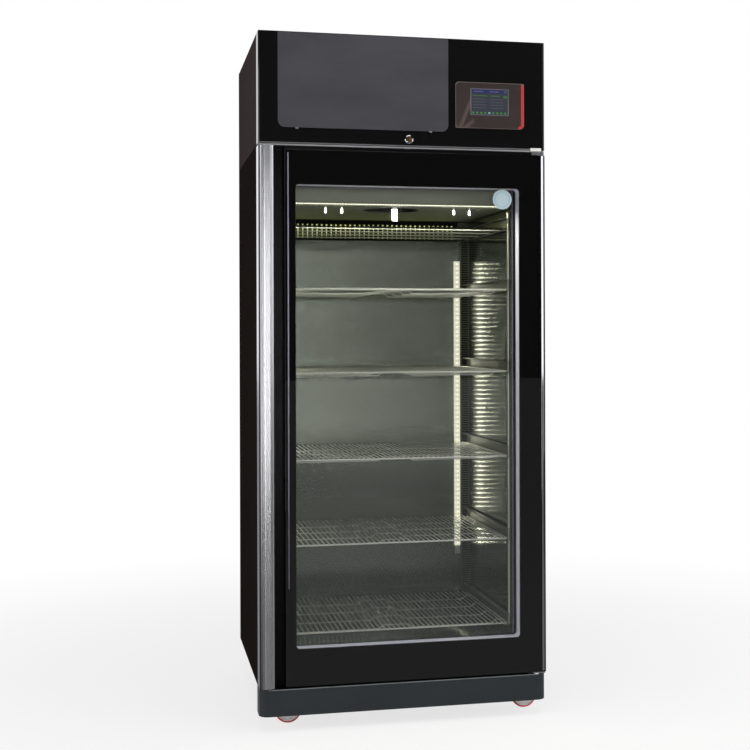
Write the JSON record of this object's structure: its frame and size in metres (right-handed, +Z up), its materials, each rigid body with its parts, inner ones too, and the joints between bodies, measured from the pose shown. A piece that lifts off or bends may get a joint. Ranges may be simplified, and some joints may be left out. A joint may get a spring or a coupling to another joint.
{
  "type": "dry aging cabinet",
  "caption": "Tall glass-door dry aging cabinet on castors, with a machine compartment on top, a full-height grip and sliding wire shelves.",
  "frame": {"origin": "on the floor, under the middle of the cabinet's footprint", "axes": "+Z up, -Y out of the glass door's face, +X to the hinge side, which is the right seen from the front"},
  "size_m": [0.88, 0.73, 2.07],
  "materials": {
    "body_black": "satin",
    "header_black": "gloss",
    "panel_black": "satin",
    "machine_black": "gloss",
    "plinth_slate": "satin",
    "foam": "matte",
    "stainless": "satin",
    "zinc": "satin",
    "wire": "gloss",
    "frame_black": "satin",
    "door_glass": "gloss",
    "grip_aluminium": "satin",
    "spacer": "matte",
    "fin_aluminium": "satin",
    "seal": "matte",
    "board": "matte",
    "bezel": "gloss",
    "screen": "gloss",
    "chrome": "polished",
    "key_brass": "satin",
    "copper": "satin",
    "black_plastic": "matte",
    "white_plastic": "satin",
    "diffuser": "satin",
    "wheel_red": "satin"
  },
  "bodies": {
    "cabinet": {"outer_casing": "body_black", "insulation": "foam", "inner_liner": "stainless", "opening_trim": "frame_black", "kick_panel": "plinth_slate", "base_rail_front": "body_black", "base_rail_rear": "body_black", "header_front": "header_black", "header_side_left": "panel_black", "header_side_right": "panel_black", "machine_deck": "zinc", "rear_grille": "panel_black", "chalkboard": "board", "display_bezel": "bezel", "display_screen": "screen", "control_box": "black_plastic", "lock_housing": "chrome", "compressor": "machine_black", "condenser_coil": "fin_aluminium", "fan_shroud": "zinc", "fan_motor": "machine_black", "suction_line": "copper", "discharge_line": "copper", "power_inlet": "black_plastic", "evaporator_cover": "stainless", "evaporator_coil": "fin_aluminium", "drip_tray": "stainless", "evaporator_motor": "black_plastic", "air_probe": "white_plastic", "led_bar_top": "diffuser", "led_bar_left": "diffuser", "led_bar_right": "diffuser", "shelf_rack_left": "stainless", "shelf_rack_right": "stainless", "hinge_bracket_top": "zinc", "hinge_bracket_bottom": "zinc"},
    "door": {"outer_glass": "door_glass", "inner_glass": "door_glass", "door_frame": "frame_black", "glazing_spacer": "spacer", "door_gasket": "seal", "door_handle": "grip_aluminium", "lock_strike": "zinc"},
    "lock": {"lock_barrel": "key_brass"},
    "condenser_fan_body": {"condenser_fan": "black_plastic"},
    "evaporator_fan_body": {"evaporator_fan": "black_plastic"},
    "shelf_1": {"wire_shelf_1": "wire"},
    "shelf_2": {"wire_shelf_2": "wire"},
    "shelf_3": {"wire_shelf_3": "wire"},
    "shelf_4": {"wire_shelf_4": "wire"},
    "shelf_5": {"wire_shelf_5": "wire"},
    "shelf_6": {"hanging_rack": "wire"},
    "swivel_front_left": {"castor_front_left_fork": "zinc"},
    "swivel_front_right": {"castor_front_right_fork": "zinc"},
    "swivel_rear_left": {"castor_rear_left_fork": "zinc"},
    "swivel_rear_right": {"castor_rear_right_fork": "zinc"},
    "roller_front_left": {"castor_front_left_wheel": "wheel_red"},
    "roller_front_right": {"castor_front_right_wheel": "wheel_red"},
    "roller_rear_left": {"castor_rear_left_wheel": "wheel_red"},
    "roller_rear_right": {"castor_rear_right_wheel": "wheel_red"}
  },
  "joints": [
    {"name": "door_hinge", "type": "hinge", "parent": "cabinet", "child": "door", "pos_m": [0.43, -0.341, 0.93], "axis": [0, 0, 1], "range_deg": [0, 110]},
    {"name": "lock_turn", "type": "hinge", "parent": "cabinet", "child": "lock", "pos_m": [0.013, -0.355, 1.76], "axis": [0, 1, 0], "range_deg": [0, 90]},
    {"name": "condenser_fan_spin", "type": "hinge", "parent": "cabinet", "child": "condenser_fan_body", "pos_m": [0.22, 0.129, 1.8781], "axis": [0, 1, 0], "continuous": true},
    {"name": "evaporator_fan_spin", "type": "hinge", "parent": "cabinet", "child": "evaporator_fan_body", "pos_m": [0, -0.125, 1.6107], "axis": [0, 0, 1], "continuous": true},
    {"name": "shelf_1_slide", "type": "slide", "parent": "cabinet", "child": "shelf_1", "axis": [0, -1, 0], "range_m": [0, 0.025]},
    {"name": "shelf_2_slide", "type": "slide", "parent": "cabinet", "child": "shelf_2", "axis": [0, -1, 0], "range_m": [0, 0.025]},
    {"name": "shelf_3_slide", "type": "slide", "parent": "cabinet", "child": "shelf_3", "axis": [0, -1, 0], "range_m": [0, 0.025]},
    {"name": "shelf_4_slide", "type": "slide", "parent": "cabinet", "child": "shelf_4", "axis": [0, -1, 0], "range_m": [0, 0.025]},
    {"name": "shelf_5_slide", "type": "slide", "parent": "cabinet", "child": "shelf_5", "axis": [0, -1, 0], "range_m": [0, 0.025]},
    {"name": "hanging_rack_slide", "type": "slide", "parent": "cabinet", "child": "shelf_6", "axis": [0, -1, 0], "range_m": [0, 0.025]},
    {"name": "front_left_swivel", "type": "hinge", "parent": "cabinet", "child": "swivel_front_left", "pos_m": [-0.37, -0.255, 0.097], "axis": [0, 0, 1], "continuous": true},
    {"name": "front_right_swivel", "type": "hinge", "parent": "cabinet", "child": "swivel_front_right", "pos_m": [0.37, -0.255, 0.097], "axis": [0, 0, 1], "continuous": true},
    {"name": "rear_left_swivel", "type": "hinge", "parent": "cabinet", "child": "swivel_rear_left", "pos_m": [-0.37, 0.255, 0.097], "axis": [0, 0, 1], "continuous": true},
    {"name": "rear_right_swivel", "type": "hinge", "parent": "cabinet", "child": "swivel_rear_right", "pos_m": [0.37, 0.255, 0.097], "axis": [0, 0, 1], "continuous": true},
    {"name": "front_left_roll", "type": "hinge", "parent": "swivel_front_left", "child": "roller_front_left", "pos_m": [-0.346, -0.255, 0.04], "axis": [0, 1, 0], "continuous": true},
    {"name": "front_right_roll", "type": "hinge", "parent": "swivel_front_right", "child": "roller_front_right", "pos_m": [0.394, -0.255, 0.04], "axis": [0, 1, 0], "continuous": true},
    {"name": "rear_left_roll", "type": "hinge", "parent": "swivel_rear_left", "child": "roller_rear_left", "pos_m": [-0.346, 0.255, 0.04], "axis": [0, 1, 0], "continuous": true},
    {"name": "rear_right_roll", "type": "hinge", "parent": "swivel_rear_right", "child": "roller_rear_right", "pos_m": [0.394, 0.255, 0.04], "axis": [0, 1, 0], "continuous": true}
  ]
}
